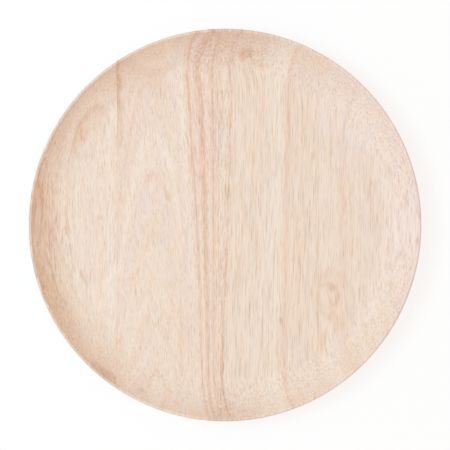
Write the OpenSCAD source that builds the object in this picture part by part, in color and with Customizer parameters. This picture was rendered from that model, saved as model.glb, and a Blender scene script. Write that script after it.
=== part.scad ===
// Turned wooden plate. A flat well sweeps up into a thin rounded lip, and the
// outside follows it down to a broad flat foot. The whole plate is one solid,
// turned about the z axis, and its foot stands on z = 0. All sizes are in mm.

/* [Plate] */
// Diameter over the lip
plate_d = 250; // [200:1:300]
// Height from the foot to the top of the lip
plate_h = 20; // [18:0.5:24]

/* [Well] */
// Thickness of the wood between the well's flat floor and the foot
floor_t = 7; // [6:0.5:8]
// Width of the inner sweep, from the edge of the flat floor to the plate's edge
rim_w = 28; // [27:0.5:34]

/* [Lip] */
// Thickness of the lip, which is fully rounded
lip_t = 2.25; // [2:0.25:4]

/* [Foot] */
// Width of the outer sweep, from the edge of the flat foot to the plate's edge
flare_w = 23; // [18:0.5:24]
// Angle between the table and the outside where it leaves the foot, in degrees
foot_angle = 20; // [14:1:22]

/* [Hidden] */
$fn = 180;

// Overlap between the lip's round and the sweeps, which makes each join one clean circle
join = 0.002;

// The lip's round: its radius, the radius the sweeps meet it at, and its centre as [radius, height]
lip_r = lip_t / 2;
meet_r = lip_r - join;
lip_c = [plate_d / 2 - lip_r, plate_h - lip_r];

// Inner sweep: one arc, tangent to the floor at the well's edge and to the lip
well_edge = [plate_d / 2 - rim_w, floor_t];
in_span = lip_c - well_edge;
in_r = (in_span * in_span - meet_r ^ 2) / (2 * (in_span[1] + meet_r));
in_c = well_edge + [0, in_r];

// Outer sweep: one arc, which leaves the foot's edge at foot_angle and is tangent to the lip
foot_edge = [plate_d / 2 - flare_w, 0];
out_span = lip_c - foot_edge;
out_normal = [-sin(foot_angle), cos(foot_angle)];
out_r = (out_span * out_span - meet_r ^ 2) / (2 * (out_span * out_normal - meet_r));
out_c = foot_edge + out_r * out_normal;

// A length that clears the section in every direction
clear = plate_d;

// The turned outside, filled: the slab over the foot and the disc whose edge is the outer sweep
module outside() {
    square([out_c[0], floor_t]);
    intersection() {
        translate(out_c) circle(r = out_r);
        square([clear, clear]);
    }
}

// What the gouge takes out of the inside: the flat well and the inner sweep
module inside() {
    translate([0, floor_t]) square([well_edge[0], clear]);
    translate(in_c) circle(r = in_r);
}

// Everything beyond the lip, bounded by the lines from its centre to where the sweeps meet it
module beyond_lip() {
    to_inner = (in_c - lip_c) / norm(in_c - lip_c);
    to_outer = (lip_c - out_c) / norm(lip_c - out_c);
    polygon([lip_c, lip_c + clear * to_inner, lip_c + [clear, clear], lip_c + clear * to_outer]);
}

// Half of the plate's section, with the radius along x and the height along y
module half_section() {
    difference() {
        outside();
        inside();
        beyond_lip();
    }
    translate(lip_c) circle(r = lip_r);
}

module plate() {
    color("#ecd9c6") rotate_extrude() half_section();
}

plate();
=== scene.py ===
"""A turned wooden plate, seen from straight above on a white studio floor.

The plate is one piece of pale rubberwood. Its blank was glued up from four
staves, so the figure of the wood changes at three straight glue lines. All
sizes are in millimetres unless a name says otherwise, in the frame of the
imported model: the foot stands on z = 0, the grain runs along +Y, and +Y is up
in the picture.
"""

import logging
import math
from dataclasses import dataclass, field
from enum import Enum
from typing import Any

import bmesh
import bpy
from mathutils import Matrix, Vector


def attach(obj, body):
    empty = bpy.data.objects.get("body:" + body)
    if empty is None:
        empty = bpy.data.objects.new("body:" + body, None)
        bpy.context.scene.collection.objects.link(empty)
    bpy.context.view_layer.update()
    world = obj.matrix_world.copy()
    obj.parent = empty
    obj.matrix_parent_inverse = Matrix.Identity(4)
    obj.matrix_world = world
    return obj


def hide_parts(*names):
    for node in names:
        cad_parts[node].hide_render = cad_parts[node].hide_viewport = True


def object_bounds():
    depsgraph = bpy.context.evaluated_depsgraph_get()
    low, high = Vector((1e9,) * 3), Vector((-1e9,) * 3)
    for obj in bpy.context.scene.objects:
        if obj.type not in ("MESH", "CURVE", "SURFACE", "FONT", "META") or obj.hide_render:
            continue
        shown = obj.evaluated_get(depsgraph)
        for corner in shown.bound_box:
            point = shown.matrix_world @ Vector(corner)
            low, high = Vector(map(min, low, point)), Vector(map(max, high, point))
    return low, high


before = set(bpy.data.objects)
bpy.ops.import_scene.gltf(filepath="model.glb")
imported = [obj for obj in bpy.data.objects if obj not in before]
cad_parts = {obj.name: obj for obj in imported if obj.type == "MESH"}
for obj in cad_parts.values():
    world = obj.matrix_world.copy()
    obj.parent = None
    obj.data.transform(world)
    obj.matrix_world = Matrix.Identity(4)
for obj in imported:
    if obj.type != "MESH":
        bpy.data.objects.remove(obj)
CAD_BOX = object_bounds()

LOG = logging.getLogger("plate")

MM = 0.001  # metres in a millimetre
WHITE = (1.0, 1.0, 1.0, 1.0)

MATH = "ShaderNodeMath"
VECTOR_MATH = "ShaderNodeVectorMath"
MIX = "ShaderNodeMix"
RANGE = "ShaderNodeMapRange"
NOISE = "ShaderNodeTexNoise"
VORONOI = "ShaderNodeTexVoronoi"
COMBINE = "ShaderNodeCombineXYZ"
NOISE_MIDDLE = 0.5  # the value that a noise node swings about
NOISE_SWING = 0.25  # it seldom goes farther from there than this


def linear(hex_colour: str) -> tuple[float, float, float, float]:
    """Turns an sRGB hex colour into the linear values that the shaders take.

    Args:
        hex_colour: six hex digits, such as "EDDAC8".

    Returns:
        Linear red, green and blue, and an alpha of one.
    """
    parts = [int(hex_colour[i:i + 2], 16) / 255 for i in (0, 2, 4)]
    red, green, blue = (p / 12.92 if p <= 0.04045 else ((p + 0.055) / 1.055) ** 2.4 for p in parts)
    return red, green, blue, 1.0


def add(tree: bpy.types.NodeTree, kind: str, *inputs: Any, named: dict[str, Any] | None = None,
        **settings: Any) -> bpy.types.Node:
    """Adds one node with its settings, and sets or links its inputs.

    Args:
        tree: the node tree that takes the node.
        kind: the node's type name.
        inputs: one entry for each input in use, in the order they stand: a value, a socket, a node
            (its first output in use), or None to leave the input as it is.
        named: further inputs, by name.
        settings: attributes of the node, such as operation.

    Returns:
        The new node.
    """
    node = tree.nodes.new(kind)
    for name, value in settings.items():
        setattr(node, name, value)
    open_inputs = [s for s in node.inputs if s.enabled]
    pairs = list(zip(open_inputs, inputs)) + [(node.inputs[k], v) for k, v in (named or {}).items()]
    for socket, value in pairs:
        if value is None:
            continue
        if isinstance(value, bpy.types.Node):
            value = next(s for s in value.outputs if s.enabled)
        if isinstance(value, bpy.types.NodeSocket):
            tree.links.new(value, socket)
        else:
            socket.default_value = value
    return node


def looking(tree: bpy.types.NodeTree) -> bpy.types.Node:
    """Tells the rays that look at a thing, straight or through a reflection, from those that gather light."""
    ray = add(tree, "ShaderNodeLightPath").outputs
    seen = add(tree, MATH, ray["Is Camera Ray"], ray["Is Glossy Ray"], operation="ADD")
    return add(tree, MATH, seen, ray["Is Transmission Ray"], operation="ADD", use_clamp=True)


class Tone(Enum):
    """The tones of sanded rubberwood: its growth, its stains, its knots and its fibres, and painted shade for
    its rim.
    """

    WHITISH = "F4E8DC"
    PALE = "F1E1D1"
    CREAM = "EFDBC9"
    BISCUIT = "EED7C4"
    PINK = "ECD1BF"
    ROSE = "E9C9B5"
    RUSSET = "E1B9A0"
    BLUSH = "EED8CC"
    LILAC = "F1DED6"
    HONEY = "E6C5AC"
    MAUVE = "D9BBAC"
    # painted shade for the rim wall, partly the wood's own darker tone
    SHADE = "E8DAD7"
    # painted warm shade for the rim wall where it turns from the key
    WARM_SHADE = "EFE6D3"
    # painted shade for the left of the lip
    LIP_SHADE = "F5EEE8"
    TAN = "E3BD9C"
    UMBER = "C6986F"
    AMBER = "CF8B4C"
    FIBRE_DARK = "BA926E"
    FIBRE_PALE = "F9EBDC"
    FIBRE_WARM = "F6D6B6"
    FIBRE_COOL = "E4DAD5"


class Figure(Enum):
    """How the growth rings of a stave meet the plate's face."""

    STRAIGHT = "straight lines along the grain"
    CATHEDRAL = "arches that point along the grain"
    OVAL = "long ovals"


@dataclass(frozen=True)
class Arc:
    """One round stretch of the plate's half section, with the radius along x and the height along y."""

    centre: tuple[float, float]
    radius: float
    start: float
    turn: float
    steps: int


@dataclass(frozen=True)
class Section:
    """The sizes of the plate's half section, the same as the part's own."""

    plate_d: float = 250.0
    plate_h: float = 20.0
    floor_t: float = 7.0
    rim_w: float = 28.0
    lip_t: float = 2.25
    flare_w: float = 23.0
    foot_angle: float = 20.0
    sweep_steps: int = 40
    lip_steps: int = 20

    @property
    def lip(self) -> tuple[Vector, float]:
        """The centre and radius of the lip's round."""
        radius = self.lip_t / 2
        return Vector((self.plate_d / 2 - radius, self.plate_h - radius)), radius

    @property
    def well_edge(self) -> Vector:
        """Where the flat floor ends and the inner sweep starts."""
        return Vector((self.plate_d / 2 - self.rim_w, self.floor_t))

    @property
    def foot_edge(self) -> Vector:
        """Where the flat foot ends and the outer sweep starts."""
        return Vector((self.plate_d / 2 - self.flare_w, 0.0))

    def arcs(self) -> dict[str, Arc]:
        """Works out the round stretches, each tangent to its neighbours.

        Returns:
            The inner sweep, the lip and the outer sweep, by name.
        """
        lip_c, lip_r = self.lip
        span = lip_c - self.well_edge
        in_r = (span.length_squared - lip_r ** 2) / (2 * (span.y + lip_r))
        in_c = self.well_edge + Vector((0.0, in_r))
        angle = math.radians(self.foot_angle)
        normal = Vector((-math.sin(angle), math.cos(angle)))
        span = lip_c - self.foot_edge
        out_r = (span.length_squared - lip_r ** 2) / (2 * (span.dot(normal) - lip_r))
        out_c = self.foot_edge + out_r * normal
        to_lip_in = math.atan2(lip_c.y - in_c.y, lip_c.x - in_c.x)
        to_lip_out = math.atan2(lip_c.y - out_c.y, lip_c.x - out_c.x)
        to_foot = angle - math.pi / 2
        return {
            "Inner sweep": Arc(tuple(in_c), in_r, -math.pi / 2, to_lip_in + math.pi / 2, self.sweep_steps),
            "Lip": Arc(tuple(lip_c), lip_r, to_lip_out, to_lip_in + math.pi - to_lip_out, self.lip_steps),
            "Outer sweep": Arc(tuple(out_c), out_r, to_foot, to_lip_out - to_foot, self.sweep_steps),
        }


@dataclass
class TurnedPlate:
    """The plate: one mesh, revolved about the z axis by Geometry Nodes."""

    section: Section = field(default_factory=Section)
    turns: int = 360
    floor_rings: int = 10
    node: str = "plate"
    slot: str = "rubberwood"
    crease: float = math.radians(12)
    weld: float = 0.001     # points that are this near to each other become one

    def lathe(self, material: bpy.types.Material) -> tuple[bpy.types.NodeTree, dict[str, Any]]:
        """Builds the tree that turns the half section into the plate.

        Args:
            material: what the plate is made of.

        Returns:
            The tree, whose inputs are named for the stretches of the section, and the inputs' values.
        """
        tree = bpy.data.node_groups.new("plate_lathe", "GeometryNodeTree")
        tree.interface.new_socket("Geometry", in_out="OUTPUT", socket_type="NodeSocketGeometry")
        sizes: dict[str, tuple[str, Any]] = {
            "Turns": ("Int", self.turns),
            "Plate radius": ("Float", self.section.plate_d / 2 * MM),
        }
        for name, edge in (("Floor", self.section.well_edge), ("Foot", self.section.foot_edge)):
            sizes[f"{name} edge"] = ("Vector", (edge.x * MM, edge.y * MM, 0.0))
            sizes[f"{name} rings"] = ("Int", self.floor_rings)
        for name, arc in self.section.arcs().items():
            sizes[f"{name} centre"] = ("Vector", (arc.centre[0] * MM, arc.centre[1] * MM, 0.0))
            sizes[f"{name} radius"] = ("Float", arc.radius * MM)
            sizes[f"{name} start"] = ("Float", arc.start)
            sizes[f"{name} turn"] = ("Float", arc.turn)
            sizes[f"{name} steps"] = ("Int", arc.steps)
        values: dict[str, Any] = {}
        for name, (kind, value) in sizes.items():
            socket = tree.interface.new_socket(name, in_out="INPUT", socket_type=f"NodeSocket{kind}")
            values[socket.identifier] = value
        given = add(tree, "NodeGroupInput").outputs
        stretches = add(tree, "GeometryNodeJoinGeometry")
        for name in self.section.arcs():
            arc = add(tree, "GeometryNodeCurveArc", given[f"{name} steps"], given[f"{name} radius"],
                      given[f"{name} start"], given[f"{name} turn"], mode="RADIUS")
            placed = add(tree, "GeometryNodeTransform", arc, named={"Translation": given[f"{name} centre"]})
            tree.links.new(placed.outputs[0], stretches.inputs[0])
        for name in ("Floor", "Foot"):
            height = add(tree, VECTOR_MATH, given[f"{name} edge"], (0.0, 1.0, 0.0), operation="MULTIPLY")
            line = add(tree, "GeometryNodeCurvePrimitiveLine", height, given[f"{name} edge"])
            rings = add(tree, "GeometryNodeResampleCurve", line, None, given[f"{name} rings"])
            tree.links.new(rings.outputs[0], stretches.inputs[0])
        # the section is swept round a circle of the plate's radius, so it is drawn from there inwards,
        # and turned over, because its second axis points down there
        inward = add(tree, VECTOR_MATH, (-1.0, 0.0, 0.0), named={"Scale": given["Plate radius"]},
                     operation="SCALE")
        profile = add(tree, "GeometryNodeTransform", stretches, named={"Translation": inward})
        upright = add(tree, "GeometryNodeTransform", profile, named={"Scale": (1.0, -1.0, 1.0)})
        ring = add(tree, "GeometryNodeCurvePrimitiveCircle", given["Turns"], named={
            "Radius": given["Plate radius"]}, mode="RADIUS")
        level = add(tree, "GeometryNodeSetCurveNormal", ring, mode="Z_UP")
        skin = add(tree, "GeometryNodeCurveToMesh", level, upright)
        closed = add(tree, "GeometryNodeMergeByDistance", skin, named={"Distance": self.weld * MM})
        real = add(tree, "GeometryNodeRealizeInstances", closed)
        dressed = add(tree, "GeometryNodeSetMaterial", real, named={"Material": material})
        add(tree, "NodeGroupOutput", dressed)
        return tree, values

    def build(self, material: bpy.types.Material) -> bpy.types.Object:
        """Makes the plate's mesh and gives it to the frame.

        Args:
            material: what the plate is made of.

        Returns:
            The finished plate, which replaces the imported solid.
        """
        scene = bpy.context.scene
        blank = bpy.data.objects.new("plate_blank", bpy.data.meshes.new("plate_blank"))
        scene.collection.objects.link(blank)
        modifier = blank.modifiers.new("lathe", "NODES")
        modifier.node_group, values = self.lathe(material)
        for identifier, value in values.items():
            modifier[identifier] = value
        turned = blank.evaluated_get(bpy.context.evaluated_depsgraph_get())
        mesh = bpy.data.meshes.new_from_object(turned)
        bpy.data.objects.remove(blank)
        mesh.name = "turned_plate"
        shell = bmesh.new()
        shell.from_mesh(mesh)
        bmesh.ops.recalc_face_normals(shell, faces=shell.faces)
        if shell.calc_volume(signed=True) < 0:
            bmesh.ops.reverse_faces(shell, faces=shell.faces)
        volume, open_edges = shell.calc_volume(), sum(not e.is_manifold for e in shell.edges)
        shell.to_mesh(mesh)
        shell.free()
        mesh.shade_smooth()
        mesh.set_sharp_from_angle(angle=self.crease)
        plate = bpy.data.objects.new("turned_plate", mesh)
        scene.collection.objects.link(plate)
        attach(plate, "root")
        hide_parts(self.node)
        LOG.info("turned plate: %d faces, %.1f cm3, %d open edges", len(mesh.polygons),
                 volume / (10 * MM) ** 3, open_edges)
        return plate


@dataclass(frozen=True)
class Stave:
    """One stave of the glued blank, with its growth bands across it.

    Each band is a place in the stave's own growth coordinate and the tone there, and the tones
    between flow into each other. The rings are finer lines in that coordinate: how many in a unit of
    it, and how strong. The line length is how long the fibres' strokes are, and the vigour scales
    their contrast. The fan is two places across the stave and the slope of the grain at each.
    """

    left: float
    figure: Figure
    bands: tuple[tuple[float, Tone], ...]
    rings: tuple[float, float]
    line_length: float
    vigour: float
    seed: float
    fan: tuple[tuple[float, float], tuple[float, float]]


@dataclass(frozen=True)
class Mark:
    """A soft-edged mark in the wood, such as a knot's shadow or a mineral streak.

    Its size is its half width and half length, its depth how strong it is in the middle, and its lean
    how far it moves across for each millimetre along the grain. A swirl, in millimetres, makes the
    grain bulge round the mark. A ring is only the mark's outline. A darkening mark multiplies what is
    there instead of covering it; these are painted shade on the rim wall, in places also the wood's
    own darker tone. A mark that is within two places ends sharply there, as at a glue line.
    """

    at: tuple[float, float]
    size: tuple[float, float]
    tone: Tone
    depth: float
    lean: float = 0.0
    swirl: float = 0.0
    ring: bool = False
    shade_and_stain: bool = False
    within: tuple[float, float] | None = None


@dataclass(frozen=True)
class Drift:
    """Smooth noise through the wood.

    Its rates are cells in a millimetre, across and along the grain. The seed makes it differ from
    other noise, and the detail is its octaves.
    """

    across: float
    along: float
    seed: float
    detail: float


@dataclass(frozen=True)
class Bundles:
    """One size of fibre bundle, and how strongly it shows in tone and in hue.

    The width is in millimetres and the length in lengths of the stave's lines. On end grain the
    bundles show as dots, and the dots' strength adds to the vigour.
    """

    wide: float
    long: float
    tone: float
    hue: float
    dots: float


@dataclass(frozen=True)
class Rubberwood:
    """Plain rubberwood, turned and sanded matte.

    To the eye it is a cream wood with a breath of pink, fine hatched fibres and short brown pores
    along the grain, and broad soft growth bands. It is a solid pattern on Object coordinates, so the
    rim, which cuts down through the bands, shows them bent, and shows the fibres as dots where it
    cuts across the grain.
    """

    ring_lean: float = 0.5          # how far the ring planes lean over for each unit of depth
    well_floor: float = 7.0         # the height at which the bands' places are given
    # the finest bundles are drawn nearly a pixel of the picture wide, because real ones don't show
    bundles: tuple[Bundles, ...] = (Bundles(0.9, 1.9, 0.28, 0.9, 0.3), Bundles(0.5, 1.0, 1.68, 0.4, 0.2))
    bundle_detail: float = 2.0      # octaves of the noise that changes a bundle along its length
    scatter: float = 90.0           # how far apart in that noise neighbouring bundles can lie
    noise_roughness: float = 0.6
    pore_from: tuple[float, float] = (0.56, 0.76)   # where the bundles' noise starts to be a pore, and is one
    pore_depth: tuple[float, float] = (0.4, 0.15)   # how dark pores are along the grain and on end grain
    pore_bump: float = 0.25         # how strong their bump is, and how deep they are
    pore_drop: float = 0.05
    end_from: tuple[float, float] = (0.1, 0.6)      # how far a face turns to the grain to be end grain
    end_grain: float = 0.07         # how much darker end grain is
    roughness: float = 0.58         # sanded and not oiled
    ior: float = 1.5

    # from left to right: the ovals; the arches, with the heart band at their right; and two plain ones
    staves: tuple[Stave, ...] = (
        Stave(-130.0, Figure.OVAL, (
            (0.0, Tone.BISCUIT), (4.0, Tone.CREAM), (8.0, Tone.BISCUIT), (12.0, Tone.CREAM),
            (14.8, Tone.BISCUIT), (17.0, Tone.CREAM), (18.2, Tone.PINK), (19.4, Tone.PALE),
            (22.6, Tone.PALE), (24.6, Tone.CREAM), (32.0, Tone.CREAM), (40.0, Tone.BISCUIT),
            (60.0, Tone.BISCUIT)),
            (0.3, 0.35), 9.0, 0.85, 11.0, ((-130.0, 0.0), (-69.4, 0.0))),
        Stave(-69.4, Figure.CATHEDRAL, (
            (-110.0, Tone.PALE), (-96.5, Tone.PALE), (-95.0, Tone.CREAM), (-93.6, Tone.PINK),
            (-91.5, Tone.BISCUIT), (-86.0, Tone.CREAM), (-80.0, Tone.PALE), (-74.0, Tone.CREAM),
            (-62.0, Tone.BISCUIT), (-48.0, Tone.CREAM), (-42.0, Tone.PALE), (-35.5, Tone.BISCUIT),
            (-32.0, Tone.CREAM), (-20.0, Tone.CREAM), (-5.0, Tone.BISCUIT), (8.0, Tone.BISCUIT),
            (14.0, Tone.BLUSH), (25.0, Tone.BLUSH), (30.5, Tone.BISCUIT), (33.2, Tone.PINK),
            (36.5, Tone.CREAM), (45.0, Tone.BISCUIT), (50.0, Tone.PALE), (58.0, Tone.PALE),
            (64.0, Tone.BISCUIT), (74.0, Tone.PINK), (80.0, Tone.BISCUIT), (88.0, Tone.PINK),
            (98.0, Tone.PINK), (106.0, Tone.BISCUIT), (125.0, Tone.BISCUIT), (160.0, Tone.BISCUIT)),
            (0.12, 0.35), 6.0, 0.8, 23.0, ((-21.0, -0.062), (-6.6, 0.0))),
        Stave(-4.3, Figure.STRAIGHT, (
            (-4.3, Tone.PINK), (-3.4, Tone.CREAM), (-1.5, Tone.CREAM), (-0.4, Tone.PINK), (0.5, Tone.BISCUIT),
            (1.5, Tone.RUSSET), (2.6, Tone.CREAM), (4.0, Tone.BISCUIT), (5.6, Tone.CREAM),
            (20.0, Tone.CREAM), (31.0, Tone.PALE), (35.6, Tone.PALE), (37.6, Tone.CREAM),
            (39.2, Tone.ROSE), (41.0, Tone.BISCUIT), (44.0, Tone.CREAM), (47.0, Tone.BISCUIT),
            (52.0, Tone.CREAM), (60.0, Tone.CREAM)),
            (0.4, 0.4), 16.0, 1.1, 37.0, ((1.0, 0.032), (40.0, 0.018))),
        Stave(60.0, Figure.STRAIGHT, (
            (60.0, Tone.CREAM), (66.0, Tone.PALE), (73.0, Tone.CREAM), (76.0, Tone.PINK), (79.0, Tone.CREAM),
            (84.0, Tone.PALE), (91.0, Tone.CREAM), (98.0, Tone.CREAM), (106.0, Tone.BLUSH),
            (116.0, Tone.LILAC), (125.0, Tone.LILAC)),
            (0.3, 0.4), 13.0, 0.9, 53.0, ((60.0, 0.0), (130.0, -0.01))),
    )
    arch_axis: float = -45.5        # the place of the arches' axis across the grain
    arch_curve: float = 0.165       # how fast their legs drop, for each square millimetre off the axis
    arch_depth: float = 1.4         # how far they move up for each unit of depth
    oval_centre: tuple[float, float] = (-84.0, 18.0)
    oval_squash: float = 0.33       # their width over their length
    oval_depth: float = 0.4         # how far they widen for each unit of depth
    grain_drift: Drift = Drift(0.03, 0.012, 0.0, 0.5)   # how the grain wanders, and how many millimetres
    grain_wander: float = 0.9                           # it moves the straight bands, the arches and the ovals
    arch_wander: float = 8.0
    oval_wander: float = 4.0
    outline_drift: Drift = Drift(0.2, 0.1, 9.0, 1.0)    # how uneven the marks' outlines are
    outline_wander: float = 5.0
    hue_drift: Drift = Drift(0.12, 0.03, 5.0, 2.0)      # how the hue drifts from place to place, and how far
    bloom: float = 0.3
    ring_change: float = 0.006      # cells in a millimetre along a ring, and the octaves of the rings
    ring_detail: float = 3.0
    # the dark band at the right of the arches, by place across the grain, and its rings
    heart_band: tuple[tuple[float, Tone], ...] = (
        (-36.0, Tone.CREAM), (-30.0, Tone.CREAM), (-27.0, Tone.BLUSH), (-22.6, Tone.PALE),
        (-21.4, Tone.CREAM), (-20.0, Tone.BISCUIT), (-18.9, Tone.ROSE), (-18.2, Tone.RUSSET),
        (-17.4, Tone.ROSE), (-16.2, Tone.BLUSH), (-15.3, Tone.BLUSH), (-14.4, Tone.ROSE),
        (-13.4, Tone.RUSSET), (-12.0, Tone.RUSSET), (-11.2, Tone.PINK), (-10.0, Tone.BLUSH),
        (-9.2, Tone.BISCUIT), (-8.3, Tone.PINK), (-7.6, Tone.RUSSET), (-6.8, Tone.PINK),
        (-5.8, Tone.ROSE), (-4.9, Tone.BISCUIT), (-4.3, Tone.BISCUIT))
    heart_rings: tuple[float, float] = (0.9, 0.35)
    heart_edge: tuple[float, float] = (-36.0, -28.0)    # where the arches give way to the heart band
    heart_at: float = -8.0          # where its fibres differ: the middle, the half width and the soft edge
    heart_half: float = 11.0
    heart_fade: float = 4.0
    heart_vigour: float = 0.4       # what is added to their vigour there
    heart_length: float = 8.0       # how long their strokes are there
    rim_from: tuple[float, float] = (95.0, 115.0)       # where the rim starts to add to it, and adds all
    # the rim's added contrast is partly painted shade of the grain's relief in grazing light
    rim_vigour: tuple[float, float] = (0.8, 0.35)       # what the left and the right of the rim add
    lip_from: tuple[float, float] = (18.6, 19.4)        # the heights between which the wall turns into the lip
    # painted shade: the lip's left is darkened where its inner edge turns from the key
    lip_shade_from: tuple[float, float] = (-25.0, -85.0)   # the left of the lip is a touch darker
    seam_width: tuple[float, float] = (0.1, 0.45)       # where a glue line starts and ends to fade
    # each glue line's place, and how dark it is
    glue_lines: tuple[tuple[float, float], ...] = ((-69.4, 0.12), (-4.3, 0.15), (60.0, 0.1))
    swirl_reach: float = 1.6                            # how far a swirl reaches, in sizes of its mark
    mark_fade: tuple[float, float] = (0.25, 1.25)       # where a mark starts and ends to fade, in its sizes
    ring_fade: tuple[float, float] = (0.0, 0.3)         # the same for a ring, from its outline
    marks: tuple[Mark, ...] = (
        # the knot at the top, and round it on the rim wall a darkening that is partly the wood's pinkish grey
        # and partly painted shade
        Mark((12.8, 108.0), (13.0, 15.0), Tone.CREAM, 0.0, swirl=4.0),
        Mark((5.0, 119.5), (36.0, 22.0), Tone.SHADE, 0.6, shade_and_stain=True),
        Mark((13.6, 110.2), (5.4, 4.2), Tone.AMBER, 0.65, 0.3),
        Mark((12.0, 111.0), (2.6, 1.6), Tone.AMBER, 0.3),
        Mark((20.5, 103.5), (7.0, 4.5), Tone.TAN, 0.3, -0.4),
        # painted shade on the rim wall at the bottom and the upper right, partly the wood's own darker tone,
        # then casts of colour
        Mark((4.0, -126.0), (34.0, 16.0), Tone.SHADE, 0.35, shade_and_stain=True),
        Mark((0.5, -114.0), (8.0, 18.0), Tone.SHADE, 0.3, shade_and_stain=True),
        Mark((66.0, 93.0), (22.0, 15.0), Tone.SHADE, 0.25, -0.6, shade_and_stain=True),
        Mark((86.0, 72.0), (36.0, 44.0), Tone.LILAC, 0.6),
        Mark((80.0, -70.0), (18.0, 24.0), Tone.ROSE, 0.3),
        Mark((79.8, 77.0), (1.7, 15.0), Tone.MAUVE, 0.4, 0.3),
        Mark((38.4, 82.0), (2.6, 42.0), Tone.CREAM, 0.45),
        Mark((92.0, 10.0), (7.0, 26.0), Tone.LILAC, 0.45),
        Mark((-38.0, -60.0), (38.0, 44.0), Tone.BISCUIT, 0.4),
        Mark((-85.5, -34.0), (10.0, 24.0), Tone.PINK, 0.35),
        Mark((-21.0, -72.0), (5.5, 26.0), Tone.PINK, 0.4),
        # the crown of the arches
        Mark((-47.6, 115.0), (20.0, 16.5), Tone.UMBER, 0.13, ring=True),
        Mark((-46.0, 112.0), (11.0, 9.0), Tone.PALE, 0.5, ring=True),
        # the left stave's flecks, its small knot and its pale lines
        Mark((-80.7, 4.5), (2.2, 2.6), Tone.TAN, 0.5, swirl=2.0),
        Mark((-101.6, -2.2), (1.5, 5.0), Tone.UMBER, 0.5, swirl=-1.5),
        Mark((-99.2, -17.0), (0.9, 13.0), Tone.UMBER, 0.45, -0.2),
        Mark((-91.2, -34.0), (2.2, 6.0), Tone.UMBER, 0.45, -0.5),
        Mark((-86.0, 60.0), (9.0, 16.0), Tone.UMBER, 0.32, 0.35, ring=True),
        Mark((-84.0, 49.0), (12.0, 9.0), Tone.CREAM, 0.9),
        Mark((-94.5, 45.0), (5.0, 10.0), Tone.CREAM, 0.6),
        Mark((-76.2, 59.0), (4.5, 11.0), Tone.CREAM, 0.6),
        Mark((-91.4, 57.0), (3.0, 7.5), Tone.TAN, 0.5, 0.2),
        Mark((-91.8, 58.0), (1.0, 5.0), Tone.AMBER, 0.35),
        Mark((-73.4, -34.0), (2.4, 50.0), Tone.WHITISH, 0.5),
        Mark((-75.5, 30.0), (4.0, 60.0), Tone.PALE, 0.5),
        # a fleck and pale lines in the arches
        Mark((-36.3, 18.5), (1.8, 4.0), Tone.UMBER, 0.35, -0.3),
        Mark((-37.0, 44.0), (2.0, 15.0), Tone.WHITISH, 0.8, -0.35),
        Mark((-30.6, 12.0), (1.6, 16.0), Tone.WHITISH, 0.5, -0.12),
        Mark((-27.8, 70.0), (1.4, 30.0), Tone.WHITISH, 0.35, -0.06),
        # flecks at the right
        Mark((35.7, -61.7), (1.3, 3.2), Tone.UMBER, 0.45),
        Mark((93.8, 24.0), (1.2, 7.0), Tone.UMBER, 0.35),
        # the knot at the lower right
        Mark((66.5, -36.0), (9.0, 12.0), Tone.BISCUIT, 0.5, swirl=3.0),
        Mark((66.4, -45.5), (6.0, 8.0), Tone.TAN, 0.45, 0.1, ring=True),
        Mark((71.5, -47.0), (11.0, 17.0), Tone.TAN, 0.2, -0.2, ring=True),
        Mark((64.5, -53.0), (4.5, 3.6), Tone.CREAM, 0.6),
        Mark((69.2, -40.4), (3.4, 3.2), Tone.UMBER, 0.42),
        Mark((71.6, -47.5), (1.6, 6.5), Tone.UMBER, 0.42),
        Mark((67.6, -49.0), (0.9, 5.0), Tone.UMBER, 0.3, -0.1),
        Mark((68.9, -58.0), (2.4, 4.5), Tone.UMBER, 0.28),
        Mark((62.4, -77.0), (1.8, 11.0), Tone.TAN, 0.32),
        Mark((62.6, -43.4), (1.8, 5.0), Tone.WHITISH, 0.9),
        Mark((76.4, -50.0), (1.6, 12.0), Tone.WHITISH, 0.6, -0.15),
        # the foot of the arches
        Mark((-52.0, -108.0), (18.0, 8.0), Tone.PALE, 0.5),
        Mark((-54.8, -105.6), (3.0, 3.0), Tone.UMBER, 0.3, swirl=3.0),
        Mark((-58.6, -97.0), (2.6, 9.0), Tone.WHITISH, 0.7, 0.35),
        Mark((-50.0, -60.5), (2.4, 4.0), Tone.TAN, 0.5),
        Mark((-28.2, -78.0), (2.6, 27.0), Tone.TAN, 0.38),
        # dark lines beside the glue lines
        Mark((-68.6, 76.0), (4.2, 42.0), Tone.RUSSET, 0.65, within=(-69.4, 0.0)),
        Mark((-68.8, 90.0), (1.8, 22.0), Tone.UMBER, 0.45, within=(-69.4, 0.0)),
        Mark((-2.0, -88.0), (1.0, 38.0), Tone.UMBER, 0.6, 0.028),
        # the darker left edge: brown streaks in the wood, a honey tone that is partly the wood's and partly
        # painted shade, and a warm painted shade on the lower left of the rim wall
        Mark((-116.4, 4.0), (11.0, 50.0), Tone.HONEY, 0.66, -0.2),
        Mark((-107.5, -50.0), (9.0, 36.0), Tone.WARM_SHADE, 0.6, -0.56, shade_and_stain=True),
        Mark((-117.8, 12.0), (1.0, 26.0), Tone.UMBER, 0.5),
        Mark((-121.9, 5.0), (0.9, 20.0), Tone.UMBER, 0.3),
        Mark((-120.2, 6.0), (0.8, 22.0), Tone.BISCUIT, 0.45),
        Mark((-112.0, -8.0), (0.9, 12.0), Tone.UMBER, 0.45),
        Mark((-109.6, -34.0), (1.0, 24.0), Tone.UMBER, 0.42, -0.34),
        Mark((-77.0, -94.0), (5.0, 9.0), Tone.UMBER, 0.55, -1.1, within=(-125.0, -69.4)),
    )

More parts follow.
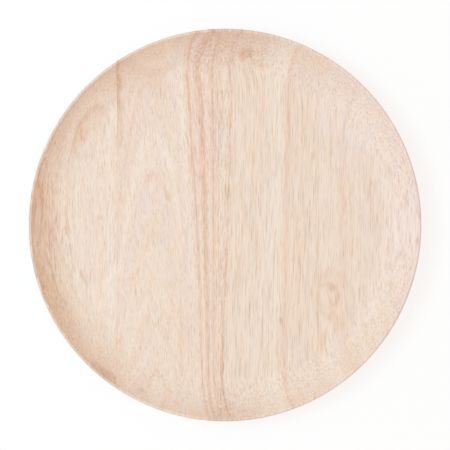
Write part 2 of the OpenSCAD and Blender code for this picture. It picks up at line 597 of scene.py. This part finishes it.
    def colour(self, tree: bpy.types.NodeTree) -> tuple[bpy.types.Node, bpy.types.Node]:
        """Builds the wood's colour.

        Args:
            tree: the material's node tree.

        Returns:
            The node that gives the colour, and the one that says where pores are.
        """
        coordinates = add(tree, "ShaderNodeTexCoord").outputs
        millimetres = add(tree, VECTOR_MATH, coordinates["Object"], named={"Scale": 1 / MM}, operation="SCALE")
        x, y, z = add(tree, "ShaderNodeSeparateXYZ", millimetres).outputs
        shift = add(tree, MATH, self.noise(tree, x, y, z, self.grain_drift), NOISE_MIDDLE, operation="SUBTRACT")
        depth = add(tree, MATH, z, self.well_floor, operation="SUBTRACT")
        lean = add(tree, MATH, depth, -self.ring_lean, x, operation="MULTIPLY_ADD")
        line_rate, vigour, seed, slope = self.by_stave(tree, x)
        straight = add(tree, MATH, lean, add(tree, MATH, y, slope, operation="MULTIPLY"), operation="SUBTRACT")
        across = add(tree, MATH, shift, self.grain_wander, straight, operation="MULTIPLY_ADD")
        wobble = add(tree, MATH, self.noise(tree, x, y, z, self.outline_drift), NOISE_MIDDLE,
                     operation="SUBTRACT")
        uneven = add(tree, MATH, wobble, self.outline_wander, x, operation="MULTIPLY_ADD")
        reaches = [self.reach(tree, mark, uneven, y) for mark in self.marks]
        for mark, reach in zip(self.marks, reaches):
            if mark.swirl:
                bulge = add(tree, RANGE, reach, 0.0, self.swirl_reach, mark.swirl, 0.0,
                            interpolation_type="SMOOTHSTEP")
                across = add(tree, MATH, across, bulge, operation="ADD")

        # the fibres stand out more in the heart band, where their length is its own, and on the rim, where the
        # added contrast, strongest on the left, is partly painted shade of the grain's relief in grazing light
        from_heart = self.gap(tree, across, self.heart_at)
        livelier = add(tree, RANGE, from_heart, self.heart_half, self.heart_half + self.heart_fade,
                       self.heart_vigour, 0.0)
        vigour = add(tree, MATH, vigour, livelier, operation="ADD")
        start, full = self.rim_from
        for side, more in zip((-1, 1), self.rim_vigour):
            livelier = add(tree, RANGE, x, side * start, side * full, 0.0, more)
            vigour = add(tree, MATH, vigour, livelier, operation="ADD")
        in_heart = add(tree, MATH, from_heart, self.heart_half, operation="LESS_THAN")
        line_rate = add(tree, MIX, in_heart, line_rate, 1 / self.heart_length, data_type="FLOAT")

        colour = linear(Tone.CREAM.value)
        for stave in self.staves:
            growth = self.growth(tree, stave, x, y, depth, across, shift)
            here = self.grown(tree, growth, y, stave.bands, stave.rings, stave.seed)
            if stave.figure is Figure.CATHEDRAL:
                heart = self.grown(tree, across, y, self.heart_band, self.heart_rings, stave.seed)
                edge = add(tree, RANGE, across, *self.heart_edge, 0.0, 1.0, interpolation_type="SMOOTHSTEP")
                here = add(tree, MIX, edge, here, heart, data_type="RGBA")
            inside = add(tree, MATH, x, stave.left, operation="GREATER_THAN")
            colour = add(tree, MIX, inside, colour, here, data_type="RGBA")
        colour = self.marked(tree, colour, x, reaches)

        # the hue drifts slowly between warm and cool
        hue = self.noise(tree, x, y, z, self.hue_drift)
        colour = self.veined(tree, colour, hue, NOISE_MIDDLE, NOISE_SWING, self.bloom,
                             Tone.FIBRE_WARM, Tone.FIBRE_COOL)

        # end grain drinks in more light, so the wood is darker where the wall cuts across the fibres
        facing = add(tree, "ShaderNodeSeparateXYZ", coordinates["Normal"]).outputs["Y"]
        end = add(tree, RANGE, add(tree, MATH, facing, operation="ABSOLUTE"), *self.end_from, 0.0, 1.0)
        dark = add(tree, MATH, end, self.end_grain, operation="MULTIPLY")
        colour = add(tree, MIX, dark, colour, linear(Tone.MAUVE.value), data_type="RGBA")

        # painted shade: the left of the lip is darker, as its inner edge turns from the key
        lip = add(tree, RANGE, z, *self.lip_from, 0.0, 1.0)
        painted_lip_shade = add(tree, MATH, lip, add(tree, RANGE, x, *self.lip_shade_from, 0.0, 1.0), operation="MULTIPLY")
        colour = add(tree, MIX, painted_lip_shade, colour, linear(Tone.LIP_SHADE.value), data_type="RGBA",
                     blend_type="MULTIPLY")

        # bundles of fibre along the grain, each of its own tone and hue, and pores in the finest
        for size in self.bundles:
            rate = add(tree, MATH, line_rate, size.long, operation="DIVIDE")
            tone, hue, own = self.bundle(tree, across, y, z, size.wide, rate, seed)
            colour = self.swung(tree, colour, hue, size.hue, Tone.FIBRE_WARM, Tone.FIBRE_COOL)
            strength = add(tree, MATH, add(tree, MATH, end, size.dots, vigour, operation="MULTIPLY_ADD"),
                           size.tone, operation="MULTIPLY")
            colour = self.swung(tree, colour, tone, strength, Tone.FIBRE_DARK, Tone.FIBRE_PALE)
        pores = add(tree, RANGE, own, *self.pore_from, 0.0, add(tree, RANGE, end, 0.0, 1.0, *self.pore_depth))
        colour = add(tree, MIX, pores, colour, linear(Tone.FIBRE_DARK.value), data_type="RGBA")

        for place, strength in self.glue_lines:
            seam = add(tree, RANGE, self.gap(tree, x, place), *self.seam_width, strength, 0.0)
            colour = add(tree, MIX, seam, colour, linear(Tone.UMBER.value), data_type="RGBA")
        return colour, pores

    def by_stave(self, tree: bpy.types.NodeTree, x: Any) -> tuple[Any, Any, Any, Any]:
        """Gives the values that change from stave to stave.

        Args:
            tree: the material's node tree.
            x: the place across the grain.

        Returns:
            How many lines a millimetre along the grain holds, the fibres' vigour, the seed, and the
            slope of the grain.
        """
        values = [0.0, 0.0, 0.0, 0.0]
        for stave in self.staves:
            (near, flat), (far, steep) = stave.fan
            inside = add(tree, MATH, x, stave.left, operation="GREATER_THAN")
            slope = add(tree, RANGE, x, near, far, flat, steep)
            own = (1 / stave.line_length, stave.vigour, stave.seed, slope)
            values = [add(tree, MIX, inside, before, here, data_type="FLOAT")
                      for before, here in zip(values, own)]
        return tuple(values)

    def gap(self, tree: bpy.types.NodeTree, value: Any, place: float) -> bpy.types.Node:
        """Measures how far a value is from a place, on either side of it."""
        return add(tree, MATH, add(tree, MATH, value, place, operation="SUBTRACT"), operation="ABSOLUTE")

    def marked(self, tree: bpy.types.NodeTree, colour: Any, x: Any, reaches: list[Any]) -> bpy.types.Node:
        """Lays the marks over the wood, each over the ones before it.

        Args:
            tree: the material's node tree.
            colour: the colour so far.
            x: the place across the grain.
            reaches: how far the place is from each mark, in sizes of the mark.

        Returns:
            The node that gives the marked colour.
        """
        for mark, reach in zip(self.marks, reaches):
            start, end = self.ring_fade if mark.ring else self.mark_fade
            off = self.gap(tree, reach, 1.0) if mark.ring else reach
            strength = add(tree, RANGE, off, start, end, mark.depth, 0.0, interpolation_type="SMOOTHSTEP")
            if mark.within is not None:
                left, right = mark.within
                inside = add(tree, MATH, self.gap(tree, x, (left + right) / 2), (right - left) / 2,
                             operation="LESS_THAN")
                strength = add(tree, MATH, strength, inside, operation="MULTIPLY")
            # darkening marks multiply the colour: painted shade on the rim wall, partly the wood's own tone
            colour = add(tree, MIX, strength, colour, linear(mark.tone.value), data_type="RGBA",
                         blend_type="MULTIPLY" if mark.shade_and_stain else "MIX")
        return colour

    def noise(self, tree: bpy.types.NodeTree, across: Any, along: Any, depth: Any,
              drift: Drift) -> bpy.types.Node:
        """Makes smooth noise whose grain runs along the wood's.

        Args:
            tree: the material's node tree.
            across: the place across the grain, in millimetres.
            along: the place along it.
            depth: the height.
            drift: the noise's rates, seed and detail.

        Returns:
            The noise node.
        """
        at = add(tree, COMBINE, add(tree, MATH, across, drift.across, operation="MULTIPLY"),
                 add(tree, MATH, along, drift.along, operation="MULTIPLY"),
                 add(tree, MATH, depth, drift.across, drift.seed, operation="MULTIPLY_ADD"))
        return add(tree, NOISE, at, 1.0, drift.detail, self.noise_roughness)

    def bundle(self, tree: bpy.types.NodeTree, across: Any, along: Any, depth: Any, wide: float, rate: Any,
               seed: Any) -> list[bpy.types.NodeSocket]:
        """Cuts the wood into bundles of fibre, tubes along the grain that change slowly along their length.

        Args:
            tree: the material's node tree.
            across: the place across the grain, in millimetres.
            along: the place along it.
            depth: the height.
            wide: the bundles' width and thickness, in millimetres.
            rate: how many times a millimetre a bundle changes along its length.
            seed: shifts the bundles, so each stave has its own.

        Returns:
            Three values about 0.5, each with its own pattern.
        """
        section = add(tree, COMBINE, add(tree, MATH, across, 1 / wide, seed, operation="MULTIPLY_ADD"),
                      add(tree, MATH, depth, 1 / wide, operation="MULTIPLY"), 0.0)
        tube = add(tree, VORONOI, section, 1.0, voronoi_dimensions="2D")
        red, green, blue = (add(tree, MATH, share, self.scatter, operation="MULTIPLY") for share in
                            add(tree, "ShaderNodeSeparateColor", tube.outputs["Color"]).outputs)
        at = add(tree, COMBINE, red, green, add(tree, MATH, along, rate, blue, operation="MULTIPLY_ADD"))
        own = add(tree, NOISE, at, 1.0, self.bundle_detail, self.noise_roughness)
        return list(add(tree, "ShaderNodeSeparateColor", own.outputs["Color"]).outputs)

    def grown(self, tree: bpy.types.NodeTree, growth: Any, along: Any, bands: tuple[tuple[float, Tone], ...],
              rings: tuple[float, float], seed: float) -> bpy.types.Node:
        """Colours a growth coordinate by its broad bands and finer rings.

        Args:
            tree: the material's node tree.
            growth: the growth coordinate, in millimetres.
            along: the place along the grain.
            bands: places in it, in rising order, and the tone at each.
            rings: the rings in a unit of the coordinate, and how strong they are.
            seed: the stave's own seed.

        Returns:
            The node that gives the colour.
        """
        rate, strength = rings
        lines = self.noise(tree, growth, along, 0.0, Drift(rate, self.ring_change, seed, self.ring_detail))
        return self.veined(tree, self.ramp(tree, growth, bands), lines, NOISE_MIDDLE, NOISE_SWING, strength,
                           Tone.ROSE, Tone.WHITISH)

    def swung(self, tree: bpy.types.NodeTree, colour: Any, noise: Any, strength: Any, high: Tone,
              low: Tone) -> bpy.types.Node:
        """Shifts a colour towards one tone or another, as far as noise is from its middle.

        Args:
            tree: the material's node tree.
            colour: the colour so far.
            noise: the noise, about 0.5.
            strength: how far the colour shifts for each unit of it.
            high: the tone where the noise is high.
            low: the tone where it is low.

        Returns:
            The node that gives the shifted colour.
        """
        swing = add(tree, MATH, add(tree, MATH, noise, NOISE_MIDDLE, operation="SUBTRACT"), strength,
                    operation="MULTIPLY")
        return self.veined(tree, colour, swing, 0.0, 1.0, 1.0, high, low)

    def veined(self, tree: bpy.types.NodeTree, colour: Any, noise: Any, middle: float, swing: float,
               strength: float, high: Tone, low: Tone) -> bpy.types.Node:
        """Lays noise over a colour: one tone where it is high and another where it is low.

        Args:
            tree: the material's node tree.
            colour: the colour so far.
            noise: the noise.
            middle: the value of the noise at which both tones start.
            swing: how far from there they are full.
            strength: how strong they are there.
            high: the tone where the noise is high.
            low: the tone where it is low.

        Returns:
            The node that gives the veined colour.
        """
        for full, tone in ((middle + swing, high), (middle - swing, low)):
            share = add(tree, RANGE, noise, middle, full, 0.0, strength)
            colour = add(tree, MIX, share, colour, linear(tone.value), data_type="RGBA")
        return colour

    def ramp(self, tree: bpy.types.NodeTree, growth: Any,
             bands: tuple[tuple[float, Tone], ...]) -> bpy.types.Node:
        """Colours a growth coordinate by its bands.

        Args:
            tree: the material's node tree.
            growth: the growth coordinate, in millimetres.
            bands: places in it, in rising order, and the tone at each.

        Returns:
            The node that gives the colour.
        """
        low, high = bands[0][0], bands[-1][0]
        node = add(tree, "ShaderNodeValToRGB", add(tree, RANGE, growth, low, high, 0.0, 1.0))
        stops = node.color_ramp.elements
        while len(stops) < len(bands):
            stops.new(0.5)
        for stop, (at, tone) in zip(stops, bands):
            stop.position = (at - low) / (high - low)
            stop.color = linear(tone.value)
        return node

    def growth(self, tree: bpy.types.NodeTree, stave: Stave, x: Any, y: Any, depth: Any, across: Any,
               shift: Any) -> bpy.types.Node:
        """Gives a stave's growth coordinate, in millimetres, by the figure that its rings make.

        Args:
            tree: the material's node tree.
            stave: the stave.
            x: the place across the grain.
            y: the place along the grain.
            depth: the height above the well's floor.
            across: the place across the leaning, fanned bands.
            shift: slow noise about zero.

        Returns:
            The node that gives the coordinate.
        """
        if stave.figure is Figure.STRAIGHT:
            return across
        if stave.figure is Figure.CATHEDRAL:
            # parabolas about the stave's axis, which the rim cuts into rings
            off_axis = add(tree, MATH, shift, self.arch_wander, add(tree, MATH, x, self.arch_axis,
                           operation="SUBTRACT"), operation="MULTIPLY_ADD")
            drop = add(tree, MATH, add(tree, MATH, off_axis, 2.0, operation="POWER"), self.arch_curve, y,
                       operation="MULTIPLY_ADD")
            return add(tree, MATH, depth, self.arch_depth, drop, operation="MULTIPLY_ADD")
        middle, height = self.oval_centre
        sideways = add(tree, MATH, x, middle, operation="SUBTRACT")
        upwards = add(tree, MATH, add(tree, MATH, y, height, operation="SUBTRACT"), self.oval_squash,
                      operation="MULTIPLY")
        squares = [add(tree, MATH, leg, 2.0, operation="POWER") for leg in (sideways, upwards)]
        radius = add(tree, MATH, add(tree, MATH, *squares, operation="ADD"), 0.5, operation="POWER")
        bent = add(tree, MATH, shift, self.oval_wander, radius, operation="MULTIPLY_ADD")
        return add(tree, MATH, depth, self.oval_depth, bent, operation="MULTIPLY_ADD")

    def reach(self, tree: bpy.types.NodeTree, mark: Mark, x: Any, y: Any) -> bpy.types.NodeSocket:
        """Measures how far a place is from a mark, in sizes of the mark.

        Args:
            tree: the material's node tree.
            mark: the mark.
            x: the place across the grain.
            y: the place along the grain.

        Returns:
            The socket that gives the reach.
        """
        up = add(tree, MATH, y, mark.at[1], operation="SUBTRACT")
        side = add(tree, MATH, add(tree, MATH, x, mark.at[0], operation="SUBTRACT"),
                   add(tree, MATH, up, mark.lean, operation="MULTIPLY"), operation="SUBTRACT")
        flat = add(tree, COMBINE, add(tree, MATH, side, mark.size[0], operation="DIVIDE"),
                   add(tree, MATH, up, mark.size[1], operation="DIVIDE"), 0.0)
        return add(tree, VECTOR_MATH, flat, operation="LENGTH").outputs["Value"]

    def make(self) -> bpy.types.Material:
        """Builds the material.

        Returns:
            The material.
        """
        material = bpy.data.materials.new("rubberwood_sanded")
        material.use_nodes = True
        tree = material.node_tree
        tree.nodes.clear()
        colour, pores = self.colour(tree)
        bump = add(tree, "ShaderNodeBump", named={
            "Height": pores, "Strength": self.pore_bump, "Distance": self.pore_drop * MM}, invert=True)
        surface = add(tree, "ShaderNodeBsdfPrincipled", colour, named={
            "Roughness": self.roughness, "IOR": self.ior, "Normal": bump})
        add(tree, "ShaderNodeOutputMaterial", surface)
        return material


@dataclass(frozen=True)
class StudioFloor:
    """The white studio floor that the plate stands on."""

    half_width: float = 3.0     # metres
    albedo: float = 0.8
    lit_from_itself: float = 0.82    # the share of the floor that the camera sees as plain white

    def build(self) -> bpy.types.Object:
        """Makes the floor and its material.

        Returns:
            The floor.
        """
        w = self.half_width
        mesh = bpy.data.meshes.new("studio_floor")
        mesh.from_pydata([(-w, -w, 0), (w, -w, 0), (w, w, 0), (-w, w, 0)], [], [(0, 1, 2, 3)])
        floor = bpy.data.objects.new("studio_floor", mesh)
        bpy.context.scene.collection.objects.link(floor)
        material = bpy.data.materials.new("matt_white_paper")
        material.use_nodes = True
        tree = material.node_tree
        tree.nodes.clear()
        seen = looking(tree)
        paper = add(tree, MIX, seen, (self.albedo,) * 3 + (1.0,), WHITE, data_type="RGBA")
        share = add(tree, MATH, seen, self.lit_from_itself, operation="MULTIPLY")
        shader = add(tree, "ShaderNodeMixShader", share, add(tree, "ShaderNodeBsdfDiffuse", paper),
                     add(tree, "ShaderNodeEmission", WHITE, 1.0))
        add(tree, "ShaderNodeOutputMaterial", shader)
        mesh.materials.append(material)
        LOG.info("studio floor: %.0f m wide", 2 * w)
        return floor


@dataclass(frozen=True)
class Studio:
    """The light, the white surroundings and the camera straight above the plate."""

    key_azimuth: float = 171.0      # the key stands to the picture's left, a little to its top
    key_elevation: float = 60.0
    key_distance: float = 1.5       # metres
    key_size: float = 0.7           # metres
    # the light on a level face: a cool key and a warm fill, which add up to white, so the parts of the
    # wall that turn away from the key are warmer
    key_share: tuple[float, float, float] = (0.25, 0.42, 0.53)
    fill: tuple[float, float, float] = (0.76, 0.59, 0.48)
    camera_height: float = 1.2      # metres above the lip
    plate_radius: float = 125.0
    plate_radius_px: float = 196.5  # the same in the picture, and half of the picture's width
    half_frame_px: float = 225.0
    sensor: float = 36.0
    clip_end: float = 20.0          # metres

    def light(self) -> None:
        """Makes the key lamp and the white surroundings that fill the shadows."""
        azimuth, elevation = math.radians(self.key_azimuth), math.radians(self.key_elevation)
        towards = Vector((math.cos(azimuth) * math.cos(elevation), math.sin(azimuth) * math.cos(elevation),
                          math.sin(elevation)))
        strongest = max(self.key_share)
        lamp = bpy.data.lights.new("key", "AREA")
        lamp.shape, lamp.size = "DISK", self.key_size
        lamp.color = [c / strongest for c in self.key_share]
        lamp.energy = strongest * math.pi ** 2 * self.key_distance ** 2 / math.sin(elevation)
        key = bpy.data.objects.new("key", lamp)
        key.location = towards * self.key_distance
        key.rotation_mode = "QUATERNION"
        key.rotation_quaternion = towards.to_track_quat("Z", "Y")
        bpy.context.scene.collection.objects.link(key)

        world = bpy.data.worlds.new("white_surroundings")
        world.use_nodes = True
        tree = world.node_tree
        tree.nodes.clear()
        seen = looking(tree)
        colour = add(tree, MIX, seen, self.fill + (1.0,), WHITE, data_type="RGBA")
        add(tree, "ShaderNodeOutputWorld", add(tree, "ShaderNodeBackground", colour, 1.0))
        bpy.context.scene.world = world
        LOG.info("key lamp: %.1f W at azimuth %.0f", lamp.energy, self.key_azimuth)

    def shoot(self) -> None:
        """Makes the camera, straight above the plate, and sets the view transform."""
        lens = bpy.data.cameras.new("camera")
        half_view = self.plate_radius * MM * self.half_frame_px / self.plate_radius_px
        lens.sensor_width = self.sensor
        lens.lens = self.sensor / 2 * self.camera_height / half_view
        lens.clip_end = self.clip_end
        camera = bpy.data.objects.new("camera", lens)
        camera.location = (0.0, 0.0, CAD_BOX[1].z + self.camera_height)
        bpy.context.scene.collection.objects.link(camera)
        bpy.context.scene.camera = camera
        bpy.context.scene.view_settings.view_transform = "Standard"
        LOG.info("camera: %.0f mm lens, %.2f m up", lens.lens, camera.location.z)


def main() -> None:
    """Builds the plate, then the floor, the light and the camera."""
    logging.basicConfig(level=logging.INFO, format="%(name)s: %(message)s")
    TurnedPlate().build(Rubberwood().make())
    StudioFloor().build()
    studio = Studio()
    studio.light()
    studio.shoot()


if __name__ == "__main__":
    main()
